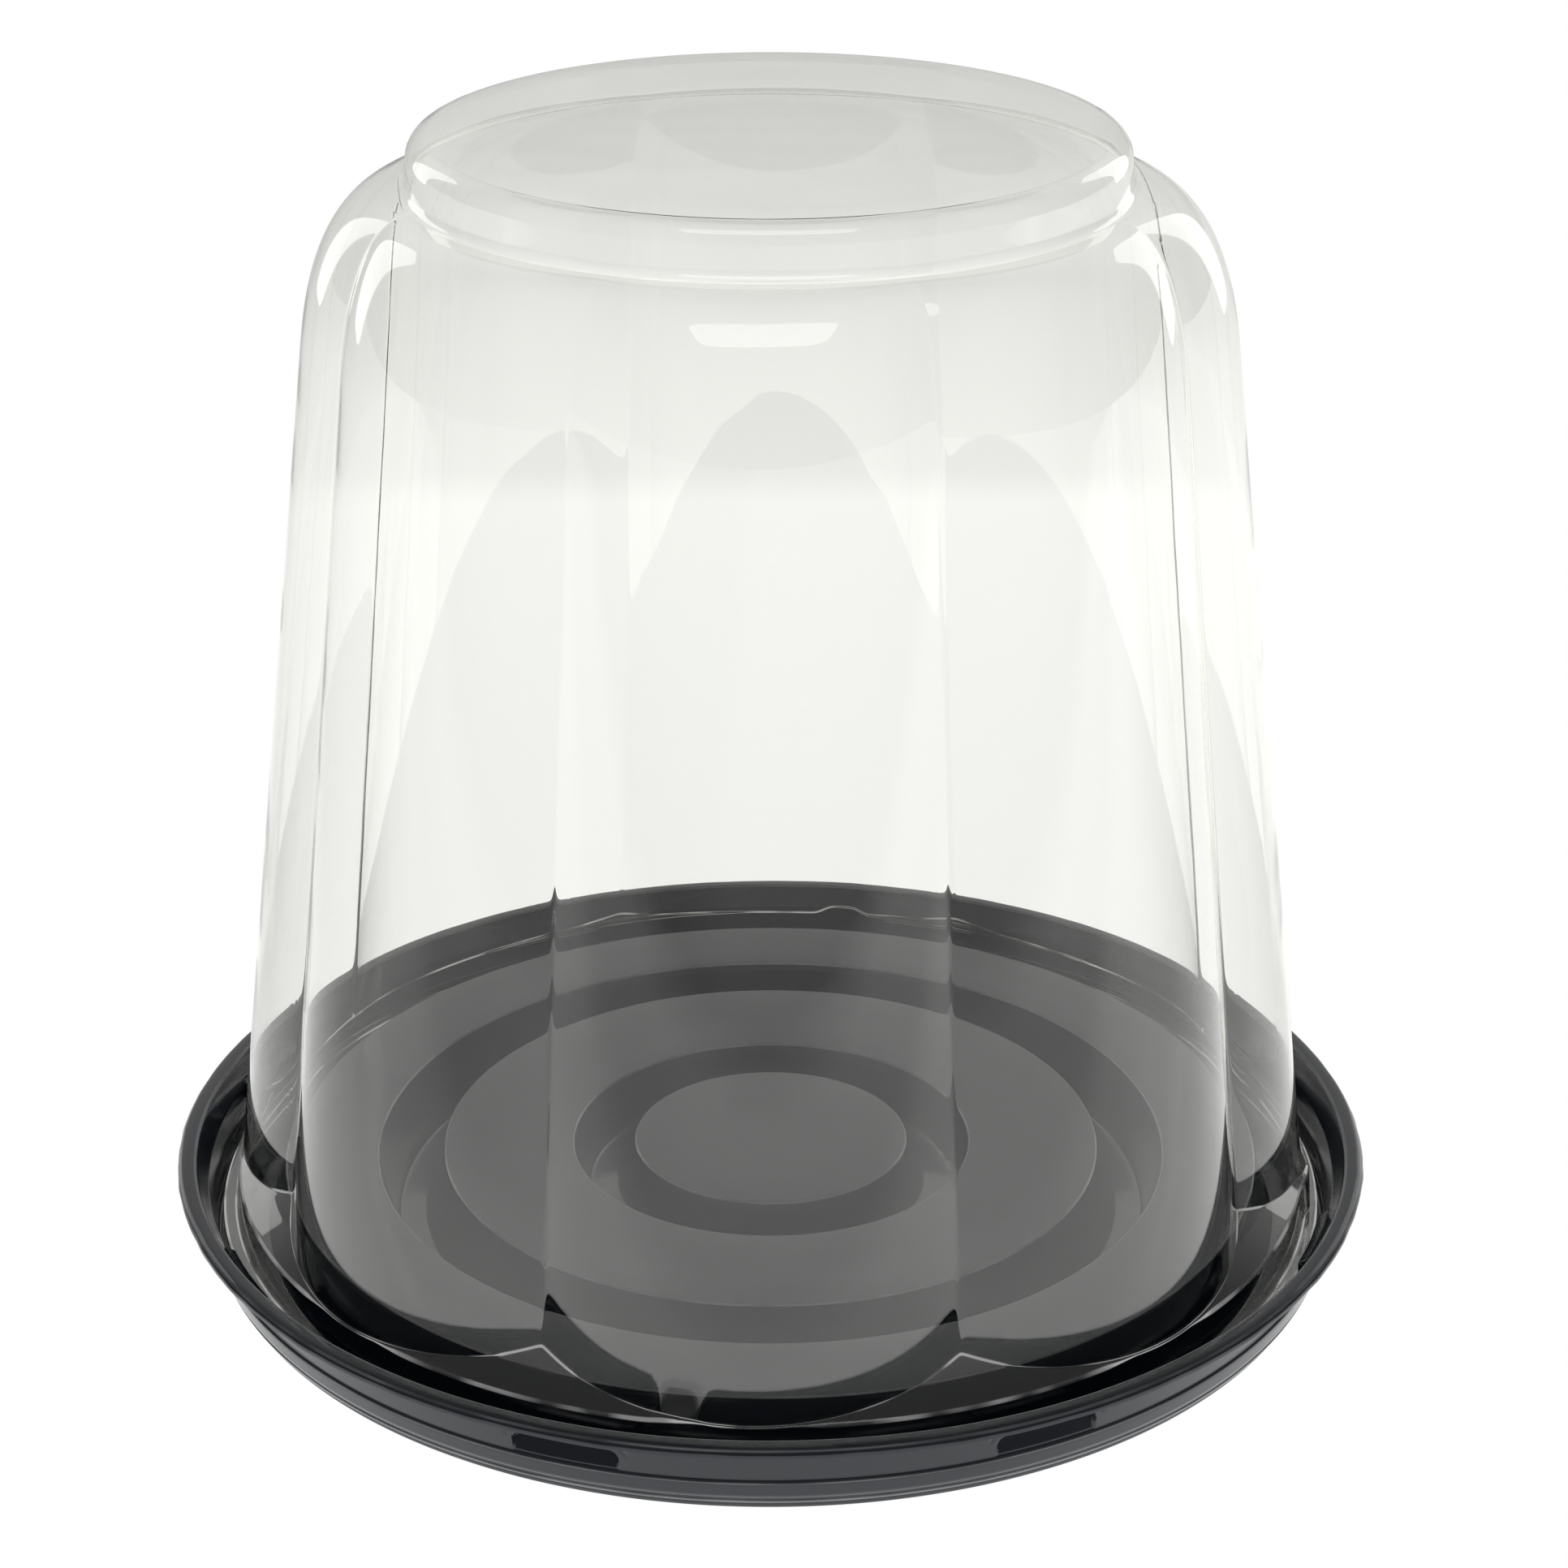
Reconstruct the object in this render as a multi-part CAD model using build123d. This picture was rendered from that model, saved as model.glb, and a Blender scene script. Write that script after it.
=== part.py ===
from build123d import *
import math
import os

# Clear domed lid standing in a round ringed base tray, both thermoformed from one sheet each.
# Millimetres, +Z up. The origin is on the table under the middle of the tray.

# ---- driving dimensions: tray -------------------------------------------------------------------
RIM_RADIUS = 135.0            # outside edge of the tray's flat lip
TRAY_SHEET = 0.9              # thickness of the black sheet
LIP_HEIGHT = 19.4             # top of the lip above the table
LIP_INNER_RADIUS = 131.3      # where the lip turns down into the wall
LIP_ROUND = 0.7               # rounding where it does
LIP_CURL_RADIUS = 133.3       # where the lip's outer edge starts to curl down
LIP_CURL_DROP = 1.1           # how far the edge curls down
LIP_CURL_ROUND = 1.2
PLATFORM_HEIGHT = 16.5        # top of the centre disc and of both ring platforms
INNER_GROOVE_HEIGHT = 5.0     # top of the sheet in the bottom of the inner groove
CENTRE_DISC_RADIUS = 31.3
INNER_RING = (45.4, 74.9)     # inside and outside radius of the inner ring platform
OUTER_RING = (89.8, 110.6)    # inside and outside radius of the outer ring platform
INNER_GROOVE_FLOOR = (34.9, 41.9)
OUTER_GROOVE_FLOOR = (79.0, 85.7)
CHANNEL_RADIUS = 114.7        # inside radius of the channel that takes the lid
STEP_HEIGHT = 7.7             # height of the small step round the outside of the skirt
SKIRT_FOOT_RADIUS = 127.0     # sheet's upper face, where the skirt leaves the channel floor
SKIRT_BAND_RADIUS = 127.5     # sheet's upper face, just under the step
SKIRT_STEP_RADIUS = 126.9     # sheet's upper face, just over the step
STEP_UNDER = 0.5              # how far under the step height its slope starts
STEP_OVER = 0.3               # how far over the step height its slope ends
STEP_ROUND = 0.3
EDGE_ROUND = 0.6              # rounding of the platform edges
FOOT_ROUND = 0.8              # rounding at the bottom of the grooves
CORNER_ROUND = 2.8            # rounding of the tray's outer bottom corner, on the upper face

# ---- driving dimensions: the eight pressed lugs in the skirt -------------------------------------
LUG_COUNT = 8
LUG_FACE_RADIUS = 125.9       # nearest that a lug comes to the axis
LUG_LENGTH = 23.0             # along the skirt
LUG_BOTTOM = STEP_HEIGHT + 0.4
LUG_TOP = 11.2
LUG_SLOPE_TOP = 14.0          # where the sloping top of the lug meets the wall
LUG_SLOPE_REACH = 1.6         # how far out that is from the wall's radius over the step
LUG_REACH = 1.8               # how far out a lug's solid runs, to end inside the wall
LUG_TURN = 26.0               # degrees from -Y to the first lug

# ---- driving dimensions: lid --------------------------------------------------------------------
LID_SHEET = 0.8
LOBES = 8
LID_TURN = -2.3               # degrees from -Y to the middle of the first lobe
FOOT_HEIGHT = 16.4            # where the middle of a lobe runs into the collar
APEX_RADIUS = 121.2           # middle of a lobe, at the foot height
APEX_TAPER = 0.119            # how fast the apex radius shrinks with height
CREASE_RADIUS = 112.6         # valley between two lobes, at the foot height
CREASE_TAPER = 0.104
CREASE_SKIN = 1.075           # the creases move in this much further than the sheet's thickness
COLLAR_TOP = (111.0, 24.1)    # radius and height of the sloping collar under the creases
COLLAR_BEND = (115.5, 20.0)   # where the collar's slope eases
COLLAR_FOOT = (121.3, 16.2)   # where the collar turns down into the round band
COLLAR_SKIN = 1.3             # upright thickness of the collar's slope, per sheet thickness
COLLAR_FOOT_SKIN = 0.5        # and at its foot
SHOULDER_START = 206.3        # top of the straight wall
SHOULDER_TOP = 240.7          # foot of the round boss
SHOULDER_POWER = 2.55         # superellipse exponent of the shoulder
BOSS_FOOT_RADIUS = 75.4
BOSS_TOP_RADIUS = 74.5
BOSS_TOP_HEIGHT = 251.4
BOSS_EDGE_ROUND = 4.2
BOSS_FOOT_ROUND = 3.5         # hollow rounding where the boss stands on the shoulder
BOSS_FLARE = 3.8              # how far the boss's foot reaches out over the shoulder
BAND_FOOT_RADIUS = 122.4      # bottom of the round band under the collar
FLANGE_HEIGHT = 7.6           # top of the flange that stands in the channel
FLANGE_RADIUS = 125.2
FLANGE_EDGE_RADIUS = 125.4    # foot of the flange's turned-down edge
FLANGE_EDGE_HEIGHT = 1.25     # it stands on the rounded corner of the channel
OVERLAP = 1.0                 # how far a joined solid reaches into the one under it

# ---- driving dimensions: the four half-round stacking nubs on the lid's band ---------------------
NUB_COUNT = 4
NUB_RADIUS = 6.2
NUB_CENTRE_RADIUS = 118.6
NUB_HEIGHT = 17.0
NUB_TURN = LID_TURN - 6.6     # degrees from -Y to the first nub

LOBE_HALF_ANGLE = 180.0 / LOBES
SHOULDER_STEPS = (0, 16, 32, 47, 60, 71, 81, 90)


def turned(shape, degrees):
    """Turn a shape that was built around -Y about the upright axis, anticlockwise from above."""
    return Rot(0, 0, degrees) * shape


def revolved(line, degrees=360.0):
    """Spin a closed outline in the XZ plane about the upright axis."""
    return revolve(make_face(line), Axis.Z, degrees)


# ---- tray ---------------------------------------------------------------------------------------
def tray_line():
    """The upper face of the sheet from the axis out to the lip, as radius and height."""
    deck = PLATFORM_HEIGHT
    floor = TRAY_SHEET
    corners = [
        (0, deck, 0),
        (CENTRE_DISC_RADIUS, deck, EDGE_ROUND),
        (INNER_GROOVE_FLOOR[0], INNER_GROOVE_HEIGHT, FOOT_ROUND),
        (INNER_GROOVE_FLOOR[1], INNER_GROOVE_HEIGHT, FOOT_ROUND),
        (INNER_RING[0], deck, EDGE_ROUND),
        (INNER_RING[1], deck, EDGE_ROUND),
        (OUTER_GROOVE_FLOOR[0], floor, FOOT_ROUND),
        (OUTER_GROOVE_FLOOR[1], floor, FOOT_ROUND),
        (OUTER_RING[0], deck, EDGE_ROUND),
        (OUTER_RING[1], deck, EDGE_ROUND),
        (CHANNEL_RADIUS, floor, FOOT_ROUND),
        (SKIRT_FOOT_RADIUS, floor, CORNER_ROUND),
        (SKIRT_BAND_RADIUS, STEP_HEIGHT - STEP_UNDER, STEP_ROUND),
        (SKIRT_STEP_RADIUS, STEP_HEIGHT + STEP_OVER, STEP_ROUND),
        (LIP_INNER_RADIUS - LIP_ROUND, LIP_HEIGHT, LIP_ROUND),
        (LIP_CURL_RADIUS, LIP_HEIGHT, LIP_CURL_ROUND),
        (RIM_RADIUS, LIP_HEIGHT - LIP_CURL_DROP, 0),
    ]
    points = [(radius, 0, height) for radius, height, _ in corners]
    rounds = [rounding for _, _, rounding in corners[1:-1]]
    return FilletPolyline(*points, radius=rounds)


def lug_section(inset, reach):
    """Section of one lug: its face, its sloping top and its flat underside."""
    face = LUG_FACE_RADIUS + inset
    corners = [
        (face, 0, LUG_BOTTOM + inset),
        (face, 0, LUG_TOP - inset),
        (SKIRT_STEP_RADIUS + LUG_SLOPE_REACH + inset, 0, LUG_SLOPE_TOP - inset),
        (reach, 0, LUG_SLOPE_TOP - inset),
        (reach, 0, LUG_BOTTOM + inset),
    ]
    return Polyline(*corners, close=True)


def lug_sector(inset, reach):
    """The solid sector of one lug, centred on -Y."""
    angle = math.degrees((LUG_LENGTH - 2 * inset) / RIM_RADIUS)
    return Rot(0, 0, -90 - angle / 2) * revolved(lug_section(inset, reach), angle)


def make_tray():
    sheet = offset(tray_line(), amount=TRAY_SHEET, side=Side.RIGHT, kind=Kind.INTERSECTION)
    tray = revolve(make_face(sheet.edges()), Axis.Z, 360)
    outside = lug_sector(0, SKIRT_STEP_RADIUS + LUG_REACH)
    pocket = lug_sector(TRAY_SHEET, RIM_RADIUS)
    for index in range(LUG_COUNT):
        angle = LUG_TURN + index * 360.0 / LUG_COUNT
        tray = tray + turned(outside, angle)
        tray = tray - turned(pocket, angle)
    return tray


# ---- lid ----------------------------------------------------------------------------------------
def wall_radii(height):
    """Apex and crease radius of the straight wall at a height."""
    rise = height - FOOT_HEIGHT
    return APEX_RADIUS - APEX_TAPER * rise, CREASE_RADIUS - CREASE_TAPER * rise


def shoulder_radii(degrees):
    """Height, apex radius and crease radius of the shoulder, at an angle round its curve."""
    swing = math.radians(degrees)
    power = 2.0 / SHOULDER_POWER
    rise = math.sin(swing) ** power
    keep = max(math.cos(swing), 0.0) ** power if degrees < 90 else 0.0
    height = SHOULDER_START + (SHOULDER_TOP - SHOULDER_START) * rise
    apex, crease = wall_radii(height)
    apex = BOSS_FOOT_RADIUS + (apex - BOSS_FOOT_RADIUS) * keep
    crease = BOSS_FOOT_RADIUS + (crease - BOSS_FOOT_RADIUS) * keep
    return height, apex, crease


def lobed_face(height, apex, crease):
    """One level section of the lobed wall: an arc per lobe, meeting in sharp creases."""
    plane = Plane.XY.offset(height)
    half = math.radians(LOBE_HALF_ANGLE)
    arcs = []
    for index in range(LOBES):
        middle = 2 * half * index
        ends = [(crease * math.cos(middle + side), crease * math.sin(middle + side))
                for side in (-half, half)]
        top = (apex * math.cos(middle), apex * math.sin(middle))
        arcs.append(ThreePointArc(ends[0], top, ends[1]))
    return plane * make_face(arcs)


def lobed_solid(skin, foot):
    """Everything inside the lobed wall and shoulder, moved in by a skin thickness."""
    low_apex, low_crease = wall_radii(foot)
    top_apex, top_crease = wall_radii(SHOULDER_START)
    crease_skin = CREASE_SKIN * skin
    wall = loft([
        lobed_face(foot, low_apex - skin, low_crease - crease_skin),
        lobed_face(SHOULDER_START, top_apex - skin, top_crease - crease_skin),
    ], ruled=True)
    faces = []
    for degrees in SHOULDER_STEPS:
        height, apex, crease = shoulder_radii(degrees)
        share = math.cos(math.radians(degrees)) if degrees < 90 else 0.0
        drop = skin * (1.0 - share)
        faces.append(lobed_face(height - drop, apex - skin * share, crease - crease_skin * share))
    return wall + loft(faces)


def boss_solid(skin, foot):
    """The round raised disc on top with its flared foot, moved in by a skin thickness."""
    flare = BOSS_FOOT_RADIUS + BOSS_FLARE
    shoulder = SHOULDER_TOP - skin
    top = BOSS_TOP_HEIGHT - skin
    side = FilletPolyline(
        (flare, 0, shoulder),
        (BOSS_FOOT_RADIUS - skin, 0, shoulder),
        (BOSS_TOP_RADIUS - skin, 0, top),
        (0, 0, top),
        radius=[BOSS_FOOT_ROUND + skin, BOSS_EDGE_ROUND - skin])
    return revolved(side + Polyline((0, 0, top), (0, 0, foot), (flare, 0, foot), (flare, 0, shoulder)))


def collar_solid(skin, foot):
    """Everything inside the sloping collar and the round band, moved in by a skin thickness."""
    slope = COLLAR_SKIN * skin
    outline = Polyline(
        (0, 0, foot),
        (BAND_FOOT_RADIUS - skin, 0, foot),
        (BAND_FOOT_RADIUS - skin, 0, FLANGE_HEIGHT - skin),
        (COLLAR_FOOT[0] - skin, 0, COLLAR_FOOT[1] - COLLAR_FOOT_SKIN * skin),
        (COLLAR_BEND[0], 0, COLLAR_BEND[1] - slope),
        (COLLAR_TOP[0], 0, COLLAR_TOP[1] - slope),
        (0, 0, COLLAR_TOP[1] - slope),
        close=True)
    return revolved(outline)


def flange_ring():
    """The flange round the foot of the band, with its turned-down edge."""
    sheet = LID_SHEET
    outline = Polyline(
        (BAND_FOOT_RADIUS - sheet, 0, FLANGE_HEIGHT),
        (FLANGE_RADIUS, 0, FLANGE_HEIGHT),
        (FLANGE_EDGE_RADIUS, 0, FLANGE_EDGE_HEIGHT),
        (FLANGE_EDGE_RADIUS - sheet, 0, FLANGE_EDGE_HEIGHT),
        (FLANGE_RADIUS - sheet, 0, FLANGE_HEIGHT - sheet),
        (BAND_FOOT_RADIUS - sheet, 0, FLANGE_HEIGHT - sheet),
        close=True)
    return revolved(outline)


def nub(radius):
    """One ball of a stacking nub, in place on -Y."""
    return Pos(0, -NUB_CENTRE_RADIUS, NUB_HEIGHT) * Sphere(radius)


def make_lid():
    sheet = LID_SHEET
    turn = LID_TURN - 90.0
    foot = FLANGE_HEIGHT - sheet
    outer = lobed_solid(0.0, FOOT_HEIGHT - OVERLAP) + boss_solid(0.0, SHOULDER_TOP - 2 * OVERLAP)
    inner = lobed_solid(sheet, FOOT_HEIGHT - 2 * OVERLAP) + boss_solid(sheet, SHOULDER_TOP - 4 * OVERLAP)
    outer = turned(outer, turn)
    inner = turned(inner, turn)
    outer = outer + collar_solid(0.0, foot)
    inner = inner + collar_solid(sheet, foot - sheet)
    for index in range(NUB_COUNT):
        angle = NUB_TURN + index * 360.0 / NUB_COUNT
        outer = outer + turned(nub(NUB_RADIUS), angle)
        inner = inner + turned(nub(NUB_RADIUS - sheet), angle)
    return outer - inner + flange_ring()


os.makedirs("parts", exist_ok=True)
export_step(make_tray(), "parts/base_tray.step")
export_step(make_lid(), "parts/dome_lid.step")
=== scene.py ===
"""Looks for a clear lobed dome lid standing in a round black ringed tray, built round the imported
CAD frame."""
import math

import bpy
import numpy as np
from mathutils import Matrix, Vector


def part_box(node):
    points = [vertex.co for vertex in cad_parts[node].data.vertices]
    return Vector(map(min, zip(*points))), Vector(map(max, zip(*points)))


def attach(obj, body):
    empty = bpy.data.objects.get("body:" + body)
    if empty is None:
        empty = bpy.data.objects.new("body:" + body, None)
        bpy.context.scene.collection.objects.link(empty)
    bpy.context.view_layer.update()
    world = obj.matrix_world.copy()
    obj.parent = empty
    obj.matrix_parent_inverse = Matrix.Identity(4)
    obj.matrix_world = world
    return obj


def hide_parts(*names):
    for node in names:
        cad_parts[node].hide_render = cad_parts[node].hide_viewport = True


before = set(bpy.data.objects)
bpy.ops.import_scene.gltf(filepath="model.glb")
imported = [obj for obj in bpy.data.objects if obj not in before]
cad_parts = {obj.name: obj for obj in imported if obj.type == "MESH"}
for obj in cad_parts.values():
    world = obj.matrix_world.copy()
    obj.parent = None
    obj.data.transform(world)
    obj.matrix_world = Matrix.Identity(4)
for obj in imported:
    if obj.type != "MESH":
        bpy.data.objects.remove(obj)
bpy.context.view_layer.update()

MM = 0.001
MM_PER_METRE = 1000

# ---- shared sizes, in millimetres and degrees ------------------------------------------------
RIM_RADIUS = MM_PER_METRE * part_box("base_tray")[1][0]
OVERALL_HEIGHT = MM_PER_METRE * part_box("dome_lid")[1][2]
LIP_HEIGHT = MM_PER_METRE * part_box("base_tray")[1][2]
TRAY_SHEET = 0.9
# The lid's sheet is a little thinner than in the CAD model, which keeps its edges fine to look at.
LID_SHEET = 0.6
LOBES = 8
LID_TURN = -2.3
LUG_TURN = 26.0
LUG_COUNT = 8


# ---- profile tools ---------------------------------------------------------------------------
LONGEST_TRIM = 0.46  # the largest share of a straight run that a rounding may take
TINY = 1e-12
MIDDLE_RADIUS = 0.5  # a sheet's grid starts here, round the fan that closes its middle

# Bends in radians per millimetre: where a painted edge highlight starts, and how soon it is full.
EDGE_BEND_START = 0.45
EDGE_BEND_RANGE = 0.6
EDGE_SHORTEST_RUN = 0.03
SHORTEST_LENGTH = 1e-4
SHARP_ANGLE = 50


def corner(radius, height, trim=0.0, bend_steps=5, run_steps=2):
    """A corner of a profile: its place, how far back its rounding starts, how finely it's cut."""
    return {"at": (radius, height), "trim": trim, "bend": bend_steps, "run": run_steps}


def rounded_profile(corners, columns):
    """Rows of (radius, height) along corners that may differ by column, with round arcs."""
    spots = []
    for place in corners:
        values = [np.broadcast_to(np.asarray(value, float), (columns,)) for value in place["at"]]
        spots.append(np.stack(values, -1))
    last = len(corners) - 1
    leave = spots[0]
    rows = [spots[0]]
    for index in range(1, last + 1):
        here = spots[index]
        run = corners[index]["run"]
        if index == last:
            enter = here
        else:
            back = spots[index - 1] - here
            ahead = spots[index + 1] - here
            back_length = np.linalg.norm(back, axis=-1, keepdims=True)
            ahead_length = np.linalg.norm(ahead, axis=-1, keepdims=True)
            longest = LONGEST_TRIM * np.minimum(back_length, ahead_length)
            trim = np.minimum(corners[index]["trim"], longest)
            enter = here + back / back_length * trim
            exit_at = here + ahead / ahead_length * trim
        for step in range(1, run + 1):
            rows.append(leave + (enter - leave) * step / run)
        if index == last:
            break
        if corners[index]["trim"] > 0:
            turn = np.sum(-back / back_length * ahead / ahead_length, axis=-1, keepdims=True)
            weight = np.sqrt((1 + np.clip(turn, -1, 1)) / 2)
            bend = corners[index]["bend"]
            for step in range(1, bend + 1):
                t = step / bend
                middle_share = 2 * t * (1 - t) * weight
                below = (1 - t) ** 2 + middle_share + t * t
                above = (1 - t) ** 2 * enter + middle_share * here + t * t * exit_at
                rows.append(above / below)
            leave = exit_at
        else:
            leave = here
    return rows


def grid_normals(points):
    """Unit normals of a closed-round grid of points, pointing up and out."""
    around = np.roll(points, -1, axis=1) - np.roll(points, 1, axis=1)
    along = np.empty_like(points)
    along[1:-1] = points[2:] - points[:-2]
    along[0] = points[1] - points[0]
    along[-1] = points[-1] - points[-2]
    normals = np.cross(along, around)
    return normals / np.maximum(np.linalg.norm(normals, axis=-1, keepdims=True), TINY)


def edge_weights(radius, height, convex):
    """One for rows on a tight convex bend, and nought on flats and hollows.

    convex is 1 for a profile that turns anticlockwise round its bumps and -1 for the other way.
    """
    run = np.diff(radius, axis=0)
    rise = np.diff(height, axis=0)
    length = np.maximum(np.hypot(run, rise), SHORTEST_LENGTH)
    turn = (run[:-1] * rise[1:] - rise[:-1] * run[1:]) / (length[:-1] * length[1:])
    bend = convex * np.arcsin(np.clip(turn, -1, 1)) / (0.5 * (length[:-1] + length[1:]))
    long_enough = (length[:-1] > EDGE_SHORTEST_RUN) * (length[1:] > EDGE_SHORTEST_RUN)
    weights = np.zeros_like(radius)
    weights[1:-1] = np.clip((bend - EDGE_BEND_START) / EDGE_BEND_RANGE, 0, 1) * long_enough
    return weights


def sheet_mesh(name, over, under, edges):
    """A closed sheet between its upper and under face, grids that share their columns."""
    columns = over.shape[1]
    middles = [over[0].mean(axis=0), under[0].mean(axis=0)]
    vertices = np.concatenate([over.reshape(-1, 3), under.reshape(-1, 3), middles])
    here = np.arange(columns)
    beside = np.roll(here, -1)
    half = len(over) * columns
    faces = []
    for row in range(len(over) - 1):
        a = row * columns
        b = a + columns
        faces.append(np.stack([a + here, b + here, b + beside, a + beside], -1))
    for row in range(len(under) - 1):
        a = half + row * columns
        b = a + columns
        faces.append(np.stack([a + here, a + beside, b + beside, b + here], -1))
    rim = half - columns
    under_rim = half + (len(under) - 1) * columns
    faces.append(np.stack([rim + here, under_rim + here, under_rim + beside, rim + beside], -1))
    quads = np.concatenate(faces)
    last = len(vertices) - 1
    fan = [(last - 1, int(i), int(j)) for i, j in zip(here, beside)]
    under_fan = [(last, int(half + j), int(half + i)) for i, j in zip(here, beside)]
    mesh = bpy.data.meshes.new(name)
    mesh.from_pydata((vertices * MM).tolist(), [], quads.tolist() + fan + under_fan)
    mesh.update()
    # The edge attribute holds the mask of painted highlight lines on tight bends.
    marks = mesh.attributes.new("edge", "FLOAT", "POINT")
    marks.data.foreach_set("value", np.append(edges, [0, 0]).astype(np.float32))
    mesh.shade_smooth()
    mesh.set_sharp_from_angle(angle=math.radians(SHARP_ANGLE))
    piece = bpy.data.objects.new(name, mesh)
    bpy.context.scene.collection.objects.link(piece)
    return piece


def smoothstep(low, high, value):
    t = np.clip((value - low) / (high - low), 0, 1)
    return t * t * (3 - 2 * t)


def thinned(angles, least):
    """Angles in degrees, sorted round the circle, without those closer than the least gap."""
    angles = np.sort(angles % 360)
    gaps = np.diff(np.append(angles, angles[0] + 360))
    return angles[gaps > least]


def turned_angles(marks, fine, coarse, least=0.03):
    """Angles round the axis in degrees: fine near each mark, coarse between the marks."""
    spread = np.concatenate([-fine[::-1], [0.0], fine])
    angles = [mark + spread for mark in marks] + [np.arange(0, 360, coarse)]
    return thinned(np.concatenate(angles), least)


def degrees_from(degrees, marks):
    """How far each angle is from the nearest mark, in degrees."""
    return np.min([np.abs((degrees - mark + 180) % 360 - 180) for mark in marks], axis=0)


def on_circle(radius, height, degrees):
    """Grid points from rows of radius and height.

    The degrees turn anticlockwise from -Y, seen from above.
    """
    swing = np.radians(degrees)
    return np.stack([radius * np.sin(swing), -radius * np.cos(swing), height], -1)


def unevenness(degrees, waves):
    """A wavy line round the axis, between -1 and 1.

    Each wave is its cycles in a turn, its share and where it starts, in radians.
    """
    swing = np.radians(degrees)
    total = sum(share * np.sin(cycles * swing + start) for cycles, share, start in waves)
    return total / sum(share for _, share, _ in waves)


# ---- tray ------------------------------------------------------------------------------------
DECK_HEIGHT = 16.5
CHANNEL_HEIGHT = 5.0
DECK_TRIM = 0.45
CHANNEL_TRIM = 0.7
FLOOR_TRIM = 0.8
RIM_RIPPLE = ((23, 1.0, 1.0), (57, 0.8, 4.0), (91, 0.6, 0.0))
RIM_RIPPLE_SIZE = 0.12
LIP_RIPPLE_SIZE = 0.06
LIP_WAVE = ((5, 1.0, 2.0), (11, 0.7, 0.5))
LIP_WAVE_SIZE = 0.08
TRAY_COLUMN_STEP = 0.8
SMALLEST_COLUMN_STEP = 0.06

# The pressed-in lugs that hold the lid: bulges on the inner face, pockets on the outer one.
HALF_LUG = 11.3
LUG_RADIUS = 128.0
LUG_COLUMNS_INWARDS = np.array([0.12, 0.24, 0.36, 0.5, 0.65, 0.85, 1.1])
LUG_COLUMNS_OUTWARDS = np.array([0.12, 0.3, 0.5, 0.7, 0.85, 1.0, 1.2])
LUG_FACE_RADIUS = 125.95
LUG_FOOT = (7.75, 8.35)
LUG_SLOPE_START = 12.6
LUG_SLOPE_RISE = 1.6
LUG_END = (HALF_LUG - 0.3, HALF_LUG + 1.0)
WALL_TOP_HEIGHT = 14.2
WALL_TOP_RADIUS = 129.5

POCKET_ROUND = 1.9
POCKET_TOP = 12.7
POCKET_BLEND = 0.14
POCKET_FOOT_RADIUS = 127.75
POCKET_SLOPE_START = 8.2
POCKET_SLOPE_RISE = 4.3
POCKET_SLOPE_DEPTH = 1.65
CREASE_DISTANCE = 1.9
CREASE_WIDTH = 0.26
CREASE_DEPTH = 0.3
CREASE_HEIGHTS = (11.2, 12.8)
OUTER_WALL_HEIGHTS = (7.95, 17.0)
OUTER_WALL_RADII = (127, 131)
UNDER_JOIN_RADIUS = 118.0
PAINTED_HIGHLIGHT_OUTSIDE_TOP = 9.0  # above this the outside carries no painted edge highlights


def tray_columns(lug_middles, degree_length):
    degrees = np.arange(0, 360, TRAY_COLUMN_STEP)
    for middle in lug_middles:
        for side in (-1, 1):
            mark = middle + side * HALF_LUG / degree_length
            inwards = mark - side * LUG_COLUMNS_INWARDS
            outwards = mark + side * LUG_COLUMNS_OUTWARDS
            degrees = np.concatenate([degrees, inwards, [mark], outwards])
    return thinned(degrees, SMALLEST_COLUMN_STEP)


def press_lugs(radius, height, away):
    """Moves the inner face of the wall inwards at the lugs; away is the distance along the wall."""
    keep = np.clip((height - LUG_SLOPE_START) / LUG_SLOPE_RISE, 0, 1)
    sloped = LUG_FACE_RADIUS + (radius - LUG_FACE_RADIUS) * keep
    pressed = np.where(height > LUG_SLOPE_START, sloped, LUG_FACE_RADIUS)
    on_wall = ((radius > LUG_FACE_RADIUS) * (height < WALL_TOP_HEIGHT)
               * (radius < WALL_TOP_RADIUS))
    start = smoothstep(*LUG_FOOT, height) * on_wall
    window = 1 - smoothstep(*LUG_END, away)
    radius -= (radius - pressed) * start * window[None, :]


def press_pockets(radius, height, away):
    """Hollows the outer face behind each lug, with a fine groove arching over the pocket."""
    beyond_ends = away[None, :] - (HALF_LUG - POCKET_ROUND)
    beyond_top = height - (POCKET_TOP - POCKET_ROUND)
    from_pocket = (np.hypot(np.maximum(beyond_ends, 0), np.maximum(beyond_top, 0))
                   + np.minimum(np.maximum(beyond_ends, beyond_top), 0) - POCKET_ROUND)
    in_wall = ((height > OUTER_WALL_HEIGHTS[0]) & (radius > OUTER_WALL_RADII[0])
               & (height < OUTER_WALL_HEIGHTS[1]) & (radius < OUTER_WALL_RADII[1]))
    slope = np.clip((height - POCKET_SLOPE_START) / POCKET_SLOPE_RISE, 0, 1)
    scoop = POCKET_FOOT_RADIUS - POCKET_SLOPE_DEPTH * slope
    inside = (1 - smoothstep(-POCKET_BLEND, POCKET_BLEND, from_pocket)) * in_wall
    line = np.exp(-((from_pocket - CREASE_DISTANCE) / CREASE_WIDTH) ** 2)
    crease = line * smoothstep(*CREASE_HEIGHTS, height) * in_wall
    radius += (scoop - radius) * inside - CREASE_DEPTH * crease


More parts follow.
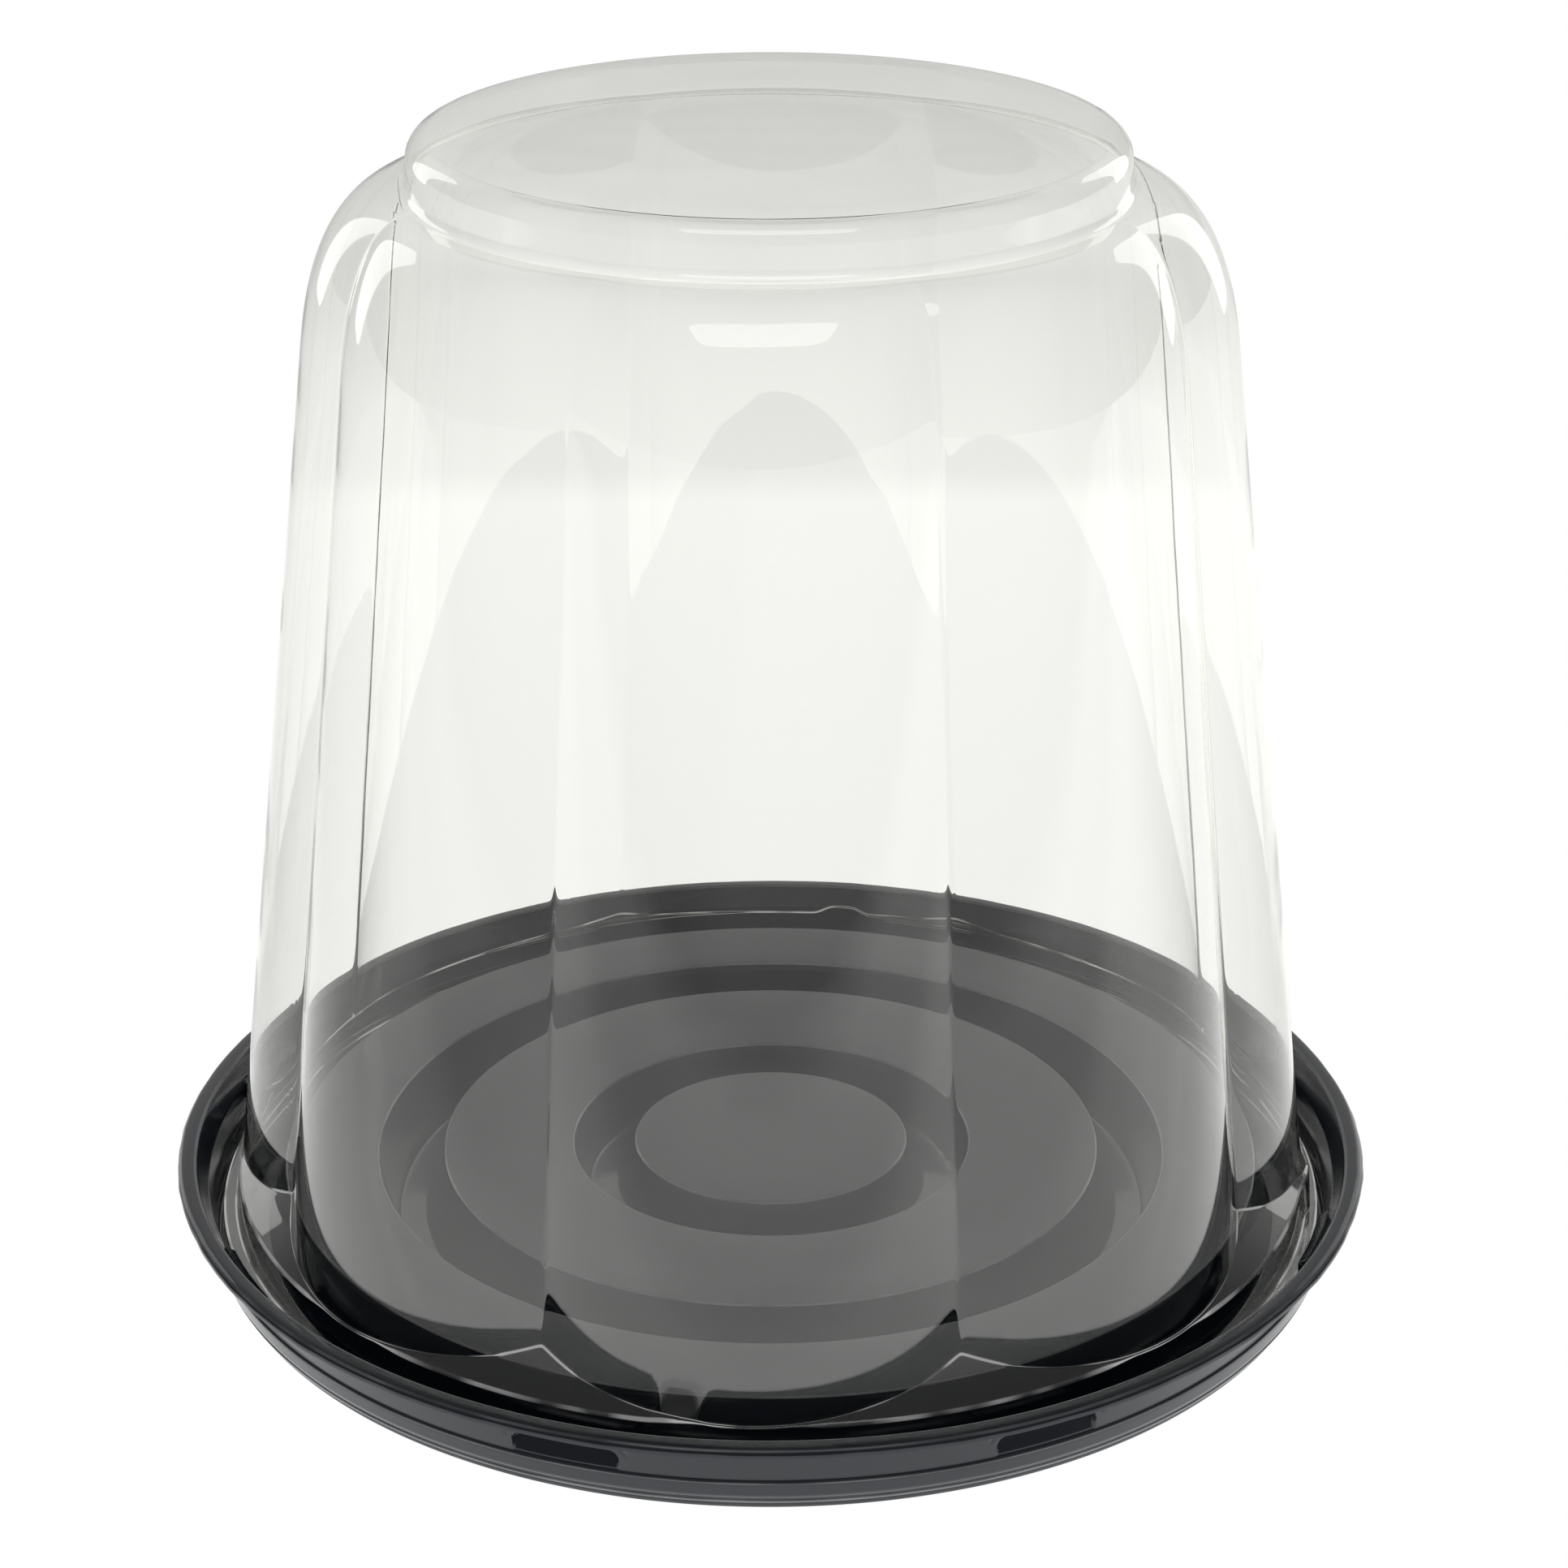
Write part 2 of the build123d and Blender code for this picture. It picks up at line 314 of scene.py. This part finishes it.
def build_tray():
    degree_length = math.radians(1) * LUG_RADIUS
    lug_middles = [LUG_TURN + 360 / LUG_COUNT * i for i in range(LUG_COUNT)]
    degrees = tray_columns(lug_middles, degree_length)
    columns = len(degrees)
    away = degrees_from(degrees, lug_middles) * degree_length
    ripple = unevenness(degrees, RIM_RIPPLE)
    rim = RIM_RADIUS - RIM_RIPPLE_SIZE + RIM_RIPPLE_SIZE * ripple
    lip = LIP_HEIGHT - LIP_WAVE_SIZE + LIP_WAVE_SIZE * unevenness(degrees, LIP_WAVE)

    # The upper face from the middle outwards: three decks between channels, the wall, the lip.
    middle_corners = [
        corner(MIDDLE_RADIUS, DECK_HEIGHT),
        corner(31.3, DECK_HEIGHT, DECK_TRIM, 5, 2),
        corner(34.9, CHANNEL_HEIGHT, CHANNEL_TRIM, 4, 4),
        corner(41.9, CHANNEL_HEIGHT, CHANNEL_TRIM, 4, 2),
        corner(45.4, DECK_HEIGHT, DECK_TRIM, 5, 4),
        corner(74.9, DECK_HEIGHT, DECK_TRIM, 5, 3),
        corner(79.0, TRAY_SHEET, FLOOR_TRIM, 4, 5),
        corner(85.7, TRAY_SHEET, FLOOR_TRIM, 4, 2),
        corner(89.8, DECK_HEIGHT, DECK_TRIM, 5, 5),
        corner(110.6, DECK_HEIGHT, DECK_TRIM, 5, 3),
        corner(114.7, TRAY_SHEET, FLOOR_TRIM, 4, 5),
    ]
    skirt_corners = [
        corner(127.0, TRAY_SHEET, 2.4, 6, 3),
        corner(127.5, 7.2, 0.4, 3, 3),
        corner(126.95, 8.0, 0.4, 3, 1),
        corner(128.2, WALL_TOP_HEIGHT, 0.01, 1, 18),
        corner(130.85, lip, 0.55, 5, 6),
        corner(133.1, lip, 0.5, 3, 2),
        corner(134.35, lip - 0.4 + LIP_RIPPLE_SIZE * ripple, 0.5, 4, 2),
        corner(rim, lip - 1.2, 0, 1, 2),
    ]
    over = np.stack(rounded_profile(middle_corners + skirt_corners, columns))
    radius, height = over[..., 0].copy(), over[..., 1]
    press_lugs(radius, height, away)
    # Weights of tight convex bends, which become painted highlight lines.
    over_edges = edge_weights(radius, height, -1)
    over = on_circle(radius, height, degrees[None, :])

    # The under face follows the upper one out to the last channel, then has its own profile.
    low_corners = middle_corners + [corner(UNDER_JOIN_RADIUS, TRAY_SHEET)]
    low_middle = np.stack(rounded_profile(low_corners, columns))
    low_middle = on_circle(low_middle[..., 0], low_middle[..., 1], degrees[None, :])
    low_middle = low_middle - TRAY_SHEET * grid_normals(low_middle)
    outside_corners = [
        corner(118.5, 0.0),
        corner(125.9, 0.0, 0.35, 3, 2),
        corner(126.0, 1.7, 0.1, 2, 2),
        corner(126.9, 1.75, 0.35, 4, 1),
        corner(127.3, 2.5, 0.3, 3, 1),
        corner(126.8, 2.9, 0.05, 1, 1),
        corner(127.3, 3.15, 0.25, 3, 1),
        corner(127.78, 3.9, 0.4, 3, 1),
        corner(127.95, 4.9, 0.4, 3, 1),
        corner(128.4, 7.25, 0.25, 3, 2),
        corner(127.85, 7.9, 0.25, 3, 1),
        corner(128.95, 13.9, 0.01, 1, 30),
        corner(131.2, 18.3, 0.4, 3, 14),
        corner(133.2, 18.4, 0.3, 2, 2),
        corner(134.3, 18.1, 0.3, 2, 2),
        corner(rim - RIM_RIPPLE_SIZE, lip - 2.1, 0, 1, 2),
    ]
    outside = np.stack(rounded_profile(outside_corners, columns))
    radius, height = outside[..., 0].copy(), outside[..., 1]
    # The outside gets painted highlight lines only on its low bends.
    outside_edges = edge_weights(radius, height, 1) * (height < PAINTED_HIGHLIGHT_OUTSIDE_TOP)
    press_pockets(radius, height, away)
    outside = on_circle(radius, height, degrees[None, :])
    no_edges = np.zeros(low_middle[..., 0].size)
    edges = np.concatenate([over_edges.ravel(), no_edges, outside_edges.ravel()])
    return sheet_mesh("tray_sheet", over, np.concatenate([low_middle, outside]), edges)


# ---- lid -------------------------------------------------------------------------------------
FOOT_HEIGHT = 16.4
SHOULDER_START = 206.3
SHOULDER_TOP = 240.7
SHOULDER_POWER = 2.55
SHOULDER_FIRST_SWING = 80.5
SHOULDER_SWINGS = ([77.5, 74.5, 71] + list(range(67, 10, -4)) + [7, 4, 1])
BOSS_FOOT_RADIUS = 75.4
BOSS_TOP_RADIUS = 74.5

# The wall leans in as it rises: radius at the foot, and loss per millimetre of height.
APEX_RADIUS = 121.2
APEX_LEAN = 0.119
CREASE_RADIUS = 112.6
CREASE_LEAN = 0.104
CREASE_SOFTNESS = 0.25  # in degrees

# The collar slopes down from the wall's foot, with a slight change of slope on the way.
COLLAR_BEND_RADIUS = 115.5
COLLAR_BEND_HEIGHT = 20.0
COLLAR_INNER_SLOPE = 0.911
COLLAR_OUTER_SLOPE = 0.655
COLLAR_EDGE_RADIUS = 121.3
FLANGE_HEIGHT = 7.6
FOOT_SEARCH_STEPS = 12
LEAST_INNER_SLOPE = 0.15
LEAST_SLOPE = 0.4

# Four rounded nubs stand on the collar's slope and the flange.
NUB_COUNT = 4
NUB_TURN = LID_TURN - 6.6
NUB_RADIUS = 121.0
NUB_HALF_WIDTH = 5.4
NUB_TOP = (21.6, 16.8)
NUB_OUTWARDS = 1.5
NUB_OUTWARDS_FOOT = (7.5, 9.5)
NUB_UPWARDS = 1.3
NUB_UPWARDS_FOOT = (9.5, 15.5)

LID_COLUMN_STEP = 0.9
CREASE_COLUMNS = np.array([0.08, 0.16, 0.25, 0.36, 0.5, 0.7, 1.0, 1.4, 1.9])
NUB_COLUMNS = np.arange(0.3, 4.3, 0.3)
NUB_COLUMN_STEP = 45
GLINTS_BELOW = 30  # painted glints on the lid's edges stay below this height


def wall_radii(height):
    rise = height - FOOT_HEIGHT
    return APEX_RADIUS - APEX_LEAN * rise, CREASE_RADIUS - CREASE_LEAN * rise


def lobe_radius(apex, crease, local):
    """Radius of an arc lobe at an angle in radians from its middle."""
    half = math.pi / LOBES
    width = crease * math.sin(half)
    bulge = apex - crease * math.cos(half)
    arc = (width ** 2 + bulge ** 2) / (2 * bulge)
    centre = apex - arc
    return centre * np.cos(local) + np.sqrt(np.maximum(arc ** 2 - (centre * np.sin(local)) ** 2, 0))


def collar(radius):
    """Height of the sloping collar at a radius."""
    inner = COLLAR_BEND_HEIGHT + (COLLAR_BEND_RADIUS - radius) * COLLAR_INNER_SLOPE
    outer = COLLAR_BEND_HEIGHT - (radius - COLLAR_BEND_RADIUS) * COLLAR_OUTER_SLOPE
    return np.where(radius < COLLAR_BEND_RADIUS, inner, outer)


def build_lid():
    half = 180.0 / LOBES
    creases = [LID_TURN + half + 2 * half * i for i in range(LOBES)]
    nubs = [NUB_TURN + 360 / NUB_COUNT * i for i in range(NUB_COUNT)]
    crease_angles = turned_angles(creases, CREASE_COLUMNS, LID_COLUMN_STEP)
    nub_angles = turned_angles(nubs, NUB_COLUMNS, NUB_COLUMN_STEP)
    degrees = thinned(np.concatenate([crease_angles, nub_angles]), SMALLEST_COLUMN_STEP)
    columns = len(degrees)
    local = (degrees - LID_TURN + half) % (2 * half) - half
    from_crease = np.sqrt((half - np.abs(local)) ** 2 + CREASE_SOFTNESS ** 2)
    local = np.radians(half - from_crease)

    def wall(height):
        apex, crease = wall_radii(height)
        return lobe_radius(apex, crease, local)

    def shoulder(swing):
        """Radius and height of the shoulder at an angle round its curve, per column."""
        power = 2.0 / SHOULDER_POWER
        height = SHOULDER_START + (SHOULDER_TOP - SHOULDER_START) * math.sin(swing) ** power
        keep = math.cos(swing) ** power
        apex, crease = wall_radii(height)
        apex = BOSS_FOOT_RADIUS + (apex - BOSS_FOOT_RADIUS) * keep
        crease = BOSS_FOOT_RADIUS + (crease - BOSS_FOOT_RADIUS) * keep
        return lobe_radius(apex, crease, local), np.full(columns, height)

    rows = rounded_profile([
        corner(MIDDLE_RADIUS, OVERALL_HEIGHT),
        corner(BOSS_TOP_RADIUS, OVERALL_HEIGHT, 4.2, 10, 8),
        corner(BOSS_FOOT_RADIUS, SHOULDER_TOP, 1.8, 8, 3),
        corner(*shoulder(math.radians(SHOULDER_FIRST_SWING)), 0, 1, 1),
    ], columns)
    rows += [np.stack(shoulder(swing), -1) for swing in np.radians(SHOULDER_SWINGS)]

    # The lobed wall meets the sloping collar where both have the same height.
    foot_height = np.full(columns, FOOT_HEIGHT)
    for _ in range(FOOT_SEARCH_STEPS):
        foot_height = collar(wall(foot_height))
    foot_radius = wall(foot_height)
    bend_radius = np.maximum(COLLAR_BEND_RADIUS, foot_radius + LEAST_INNER_SLOPE)
    edge_radius = np.maximum(COLLAR_EDGE_RADIUS, foot_radius + LEAST_SLOPE)
    rows += rounded_profile([
        corner(wall(SHOULDER_START), SHOULDER_START),
        corner(foot_radius, foot_height, 0.4, 5, 36),
        corner(bend_radius, collar(bend_radius), 0.3, 3, 4),
        corner(edge_radius, collar(edge_radius), 0.6, 5, 14),
        corner(122.4, FLANGE_HEIGHT, 0.35, 4, 14),
        corner(125.2, FLANGE_HEIGHT, 0.6, 5, 3),
        corner(125.4, 1.25, 0, 1, 4),
    ], columns)
    rows = np.stack(rows)
    radius, height = rows[..., 0], rows[..., 1]
    # Weights of tight bends, which carry the painted glints.
    edges = np.maximum(edge_weights(radius, height, -1), edge_weights(radius, height, 1))
    edges = edges * (height < GLINTS_BELOW)
    across = np.radians(degrees_from(degrees, nubs))[None, :] * NUB_RADIUS
    nub = np.exp(-(across / NUB_HALF_WIDTH) ** 4) * smoothstep(*NUB_TOP, height)
    radius = radius + NUB_OUTWARDS * nub * smoothstep(*NUB_OUTWARDS_FOOT, height)
    height = height + NUB_UPWARDS * nub * smoothstep(*NUB_UPWARDS_FOOT, height)
    over = on_circle(radius, height, degrees[None, :])
    edges = np.concatenate([edges.ravel(), np.zeros(edges.size)])
    return sheet_mesh("lid_sheet", over, over - LID_SHEET * grid_normals(over), edges)


# ---- materials -------------------------------------------------------------------------------
WHITE = (1, 1, 1, 1)


def node_maker(material):
    tree = material.node_tree
    tree.nodes.clear()

    def node(kind, **settings):
        made = tree.nodes.new("ShaderNode" + kind)
        for name, value in settings.items():
            key = name.replace("_", " ")
            if key in made.inputs:
                made.inputs[key].default_value = value
            else:
                setattr(made, name, value)
        return made

    def join(source, output, target, socket):
        tree.links.new(source.outputs[output], target.inputs[socket])

    return node, join


def new_material(name):
    material = bpy.data.materials.new(name)
    material.use_nodes = True
    return material


def black_sheet():
    """Glossy black plastic, unevenly smooth, with painted highlight lines a little lighter on its
    tight edges.
    """
    material = new_material("black_sheet")
    node, join = node_maker(material)
    place = node("TexCoord")
    waves = node("TexNoise", Scale=55.0, Detail=1.0)
    smears = node("TexNoise", Scale=24.0, Detail=5.0, Roughness=0.6)
    for texture in (waves, smears):
        join(place, "Object", texture, "Vector")
    rough = node("MapRange", From_Min=0.35, From_Max=0.7, To_Min=0.07, To_Max=0.17)
    join(smears, "Fac", rough, "Value")
    bump = node("Bump", Strength=0.06, Distance=0.0012)
    join(waves, "Fac", bump, "Height")
    tint = node("Mix", data_type="RGBA")
    tint.inputs["A"].default_value = (0.006, 0.009, 0.015, 1)
    tint.inputs["B"].default_value = (0.009, 0.012, 0.019, 1)
    join(smears, "Fac", tint, "Factor")
    # Painted highlight: tight bends get a lighter grey base colour, in patches, in place of lamp
    # highlights.
    marks = node("Attribute", attribute_name="edge")
    patches = node("MapRange", From_Min=0.35, From_Max=0.6, To_Min=0.45, To_Max=1.0)
    join(waves, "Fac", patches, "Value")
    painted_edge_highlight = node("Math", operation="MULTIPLY")
    join(marks, "Fac", painted_edge_highlight, 0)
    join(patches, "Result", painted_edge_highlight, 1)
    painted_highlight_mix = node("Mix", data_type="RGBA")
    painted_highlight_mix.inputs["B"].default_value = (0.17, 0.175, 0.18, 1)
    join(painted_edge_highlight, "Value", painted_highlight_mix, "Factor")
    join(tint, "Result", painted_highlight_mix, "A")
    plastic = node("BsdfPrincipled", IOR=1.5)
    join(painted_highlight_mix, "Result", plastic, "Base Color")
    join(rough, "Result", plastic, "Roughness")
    join(bump, "Normal", plastic, "Normal")
    out = node("OutputMaterial")
    join(plastic, "BSDF", out, "Surface")
    return material


def clear_sheet():
    """Clear film with painted glints on its tight edges. Shadow and diffuse rays pass straight."""
    material = new_material("clear_sheet")
    node, join = node_maker(material)
    place = node("TexCoord")
    waves = node("TexNoise", Scale=38.0, Detail=1.0)
    join(place, "Object", waves, "Vector")
    bump = node("Bump", Strength=0.10, Distance=0.0008)
    join(waves, "Fac", bump, "Height")
    glass = node("BsdfGlass", IOR=1.55, Roughness=0.0, Color=(0.985, 0.987, 0.975, 1))
    join(bump, "Normal", glass, "Normal")
    open_way = node("BsdfTransparent", Color=(0.93, 0.93, 0.92, 1))
    path = node("LightPath")
    soft = node("Math", operation="MAXIMUM")
    join(path, "Is Shadow Ray", soft, 0)
    join(path, "Is Diffuse Ray", soft, 1)
    marks = node("Attribute", attribute_name="edge")
    glints = node("TexNoise", Scale=70.0, Detail=1.0)
    join(place, "Object", glints, "Vector")
    broken = node("MapRange", From_Min=0.42, From_Max=0.58, To_Min=0.05, To_Max=0.55)
    join(glints, "Fac", broken, "Value")
    shine = node("Math", operation="MULTIPLY")
    join(marks, "Fac", shine, 0)
    join(broken, "Result", shine, 1)
    # Painted highlight: the edges glow with their own white light, broken up by noise.
    bright = node("Emission", Color=WHITE, Strength=0.65)
    painted_highlight_mix = node("MixShader")
    join(shine, "Value", painted_highlight_mix, 0)
    join(glass, "BSDF", painted_highlight_mix, 1)
    join(bright, "Emission", painted_highlight_mix, 2)
    choose = node("MixShader")
    join(soft, "Value", choose, 0)
    join(painted_highlight_mix, "Shader", choose, 1)
    join(open_way, "BSDF", choose, 2)
    out = node("OutputMaterial")
    join(choose, "Shader", out, "Surface")
    return material


# ---- stage, in metres ------------------------------------------------------------------------
FLOOR_REACH = 6.0
FLOOR_NEAR = -1.0
FLOOR_FAR = 2.0
# The floor's brightness along Y, as the dome and the tray see it.
FLOOR_STOPS = ((-1.0, 0.55), (-0.54, 0.53), (-0.41, 1.0), (-0.26, 1.02), (-0.20, 1.3),
               (-0.10, 1.3), (0.0, 1.04), (0.49, 1.12), (0.52, 1.0), (0.85, 0.84), (1.3, 0.76))
FLOOR_BRIGHTEST = 1.6
SOFTBOX_AIM = Vector((0, 0, 0.2))
SOFTBOX_POWER = 0.4  # rounds the corners of the outline
SOFTBOX_OUTLINE_STEP = 7.5


def glow_material(name, strength):
    material = new_material(name)
    node, join = node_maker(material)
    light = node("Emission", Color=WHITE, Strength=strength)
    out = node("OutputMaterial")
    join(light, "Emission", out, "Surface")
    return material


def floor_material():
    """White to the camera.

    The dome and the tray see a bright table top, dimmer in front, far behind and at the left.
    """
    material = new_material("stage_floor")
    node, join = node_maker(material)
    place = node("NewGeometry")
    split = node("SeparateXYZ")
    join(place, "Position", split, "Vector")
    depth = node("MapRange", From_Min=FLOOR_NEAR, From_Max=FLOOR_FAR, clamp=True)
    join(split, "Y", depth, "Value")
    ramp = node("ValToRGB")
    join(depth, "Result", ramp, "Fac")
    points = ramp.color_ramp.elements
    while len(points) < len(FLOOR_STOPS):
        points.new(0.5)
    for point, (distance, level) in zip(points, FLOOR_STOPS):
        grey = level / FLOOR_BRIGHTEST
        point.position = (distance - FLOOR_NEAR) / (FLOOR_FAR - FLOOR_NEAR)
        point.color = (grey, grey, grey, 1)
    beside = node("MapRange", From_Min=-0.30, From_Max=-0.12, To_Min=0.76, To_Max=1.0)
    join(split, "X", beside, "Value")
    dimmed = node("MixRGB", blend_type="MULTIPLY", Fac=1.0)
    join(ramp, "Color", dimmed, "Color1")
    join(beside, "Result", dimmed, "Color2")
    path = node("LightPath")
    white = 1 / FLOOR_BRIGHTEST
    level = node("MixRGB", Color2=(white, white, white, 1))
    join(path, "Is Camera Ray", level, "Fac")
    join(dimmed, "Color", level, "Color1")
    light = node("Emission", Strength=FLOOR_BRIGHTEST)
    join(level, "Color", light, "Color")
    out = node("OutputMaterial")
    join(light, "Emission", out, "Surface")
    return material


def stage_sheet(name, corners, material):
    mesh = bpy.data.meshes.new(name)
    mesh.from_pydata(corners, [], [tuple(range(len(corners)))])
    mesh.materials.append(material)
    sheet = bpy.data.objects.new(name, mesh)
    bpy.context.scene.collection.objects.link(sheet)
    return sheet


def softbox(name, centre, width, height, strength):
    """A glowing sheet facing the dome. It lights and is mirrored, but the camera doesn't see it."""
    centre = Vector(centre)
    facing = (SOFTBOX_AIM - centre).normalized()
    across = facing.cross(Vector((0, 0, 1))).normalized() * width / 2
    upward = across.cross(facing).normalized() * height / 2
    corners = []
    for swing in np.radians(np.arange(0, 360, SOFTBOX_OUTLINE_STEP)):
        sideways = math.copysign(abs(math.cos(swing)) ** SOFTBOX_POWER, math.cos(swing))
        up = math.copysign(abs(math.sin(swing)) ** SOFTBOX_POWER, math.sin(swing))
        corners.append(centre + across * sideways + upward * up)
    sheet = stage_sheet(name, corners, glow_material(name, strength))
    sheet.visible_camera = False


def studio_world():
    """Soft grey all round, brighter behind the dome and a little dimmer near the horizon."""
    world = bpy.data.worlds.new("studio")
    world.use_nodes = True
    node, join = node_maker(world)
    place = node("TexCoord")
    split = node("SeparateXYZ")
    join(place, "Generated", split, "Vector")
    back = node("MapRange", interpolation_type="SMOOTHSTEP",
                From_Min=0.35, From_Max=0.9, To_Min=0.0, To_Max=1.0)
    join(split, "Y", back, "Value")
    level = node("MapRange", From_Min=0.0, From_Max=1.0, To_Min=0.28, To_Max=0.9)
    join(back, "Result", level, "Value")
    low = node("MapRange", From_Min=0.22, From_Max=0.42, To_Min=0.78, To_Max=1.0)
    join(split, "Z", low, "Value")
    both = node("Math", operation="MULTIPLY")
    join(level, "Result", both, 0)
    join(low, "Result", both, 1)
    sky = node("Background")
    join(both, "Value", sky, "Strength")
    out = node("OutputWorld")
    join(sky, "Background", out, "Surface")
    return world


def build_stage():
    far = FLOOR_REACH
    floor_corners = [(-far, -far, 0), (far, -far, 0), (far, far, 0), (-far, far, 0)]
    stage_sheet("stage_floor", floor_corners, floor_material())
    softbox("softbox_over", (0, -0.66, 1.32), width=0.95, height=0.50, strength=1.5)
    softbox("softbox_left", (-0.92, 0.98, 0.50), width=0.36, height=0.96, strength=1.5)
    softbox("softbox_right", (0.84, 1.01, 0.48), width=0.42, height=0.98, strength=1.5)
    bpy.context.scene.world = studio_world()


CAMERA_PLACE = (0, -0.7765, 0.4413)
CAMERA_DOWN = 23.45
CAMERA_RIGHT = 0.224
CAMERA_SENSOR = 36.0
CAMERA_LENS = 87.96


def build_camera():
    data = bpy.data.cameras.new("camera")
    data.sensor_width = CAMERA_SENSOR
    data.lens = CAMERA_LENS
    camera = bpy.data.objects.new("camera", data)
    camera.location = CAMERA_PLACE
    camera.rotation_euler = (math.radians(90 - CAMERA_DOWN), 0, -math.radians(CAMERA_RIGHT))
    bpy.context.scene.collection.objects.link(camera)
    bpy.context.scene.camera = camera


# ---- put it together -------------------------------------------------------------------------
tray = build_tray()
tray.data.materials.append(black_sheet())
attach(tray, "base")
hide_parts("base_tray")

lid = build_lid()
lid.data.materials.append(clear_sheet())
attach(lid, "lid")
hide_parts("dome_lid")

build_stage()
build_camera()
scene = bpy.context.scene
scene.view_settings.view_transform = "Standard"
scene.cycles.max_bounces = 24
scene.cycles.transmission_bounces = 20
scene.cycles.transparent_max_bounces = 32
scene.cycles.glossy_bounces = 12
